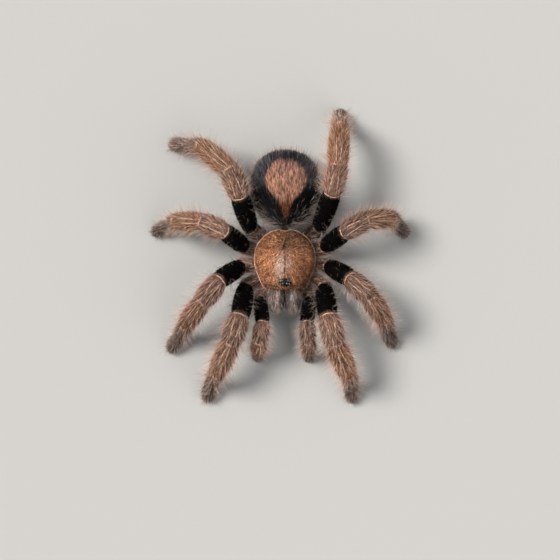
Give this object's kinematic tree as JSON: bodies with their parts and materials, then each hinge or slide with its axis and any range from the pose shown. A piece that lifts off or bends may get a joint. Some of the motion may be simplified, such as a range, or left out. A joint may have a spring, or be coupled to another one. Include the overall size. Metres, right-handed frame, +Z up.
{
  "type": "tarantula",
  "caption": "Still, life-size tarantula standing on its feet, black with a tan carapace, tan lower legs and a heart-shaped tan patch on the abdomen.",
  "frame": {"origin": "middle of the bounding box seen from above, on the floor under the feet", "axes": "+Z up, -Y towards the head, +X towards the animal's left"},
  "size_m": [0.0554, 0.063, 0.0147],
  "materials": {
    "carapace": "hard dome under a thin, flat, golden tan coat",
    "underside": "dark, finely haired",
    "abdomen": "black velvet coat with one tan patch on top and long pale hairs round it",
    "chelicera": "grey pink silky coat",
    "coxa": "grey pink coat",
    "femur": "jet black velvet coat",
    "shin": "tan coat with two pale lengthwise stripes and long pale hairs",
    "foot": "grey tan coat, denser under the foot",
    "eye": "glossy, almost black",
    "fang": "smooth, glossy black"
  },
  "bodies": {
    "root": {"abdomen": "abdomen", "carapace": "carapace", "chelicera_left": "chelicera", "chelicera_right": "chelicera", "eye_front_middle_left": "eye", "eye_front_middle_right": "eye", "eye_front_side_left": "eye", "eye_front_side_right": "eye", "eye_rear_middle_left": "eye", "eye_rear_middle_right": "eye", "eye_rear_side_left": "eye", "eye_rear_side_right": "eye", "eye_tubercle": "carapace", "fang_left": "fang", "fang_right": "fang", "leg_1_left_coxa": "coxa", "leg_1_left_femur": "femur", "leg_1_left_foot": "foot", "leg_1_left_shin": "shin", "leg_1_right_coxa": "coxa", "leg_1_right_femur": "femur", "leg_1_right_foot": "foot", "leg_1_right_shin": "shin", "leg_2_left_coxa": "coxa", "leg_2_left_femur": "femur", "leg_2_left_foot": "foot", "leg_2_left_shin": "shin", "leg_2_right_coxa": "coxa", "leg_2_right_femur": "femur", "leg_2_right_foot": "foot", "leg_2_right_shin": "shin", "leg_3_left_coxa": "coxa", "leg_3_left_femur": "femur", "leg_3_left_foot": "foot", "leg_3_left_shin": "shin", "leg_3_right_coxa": "coxa", "leg_3_right_femur": "femur", "leg_3_right_foot": "foot", "leg_3_right_shin": "shin", "leg_4_left_coxa": "coxa", "leg_4_left_femur": "femur", "leg_4_left_foot": "foot", "leg_4_left_shin": "shin", "leg_4_right_coxa": "coxa", "leg_4_right_femur": "femur", "leg_4_right_foot": "foot", "leg_4_right_shin": "shin", "palp_left_coxa": "coxa", "palp_left_femur": "femur", "palp_left_foot": "foot", "palp_left_shin": "shin", "palp_right_coxa": "coxa", "palp_right_femur": "femur", "palp_right_foot": "foot", "palp_right_shin": "shin", "pedicel": "underside", "spinneret_left": "abdomen", "spinneret_right": "abdomen", "sternum": "underside"}
  },
  "joints": []
}
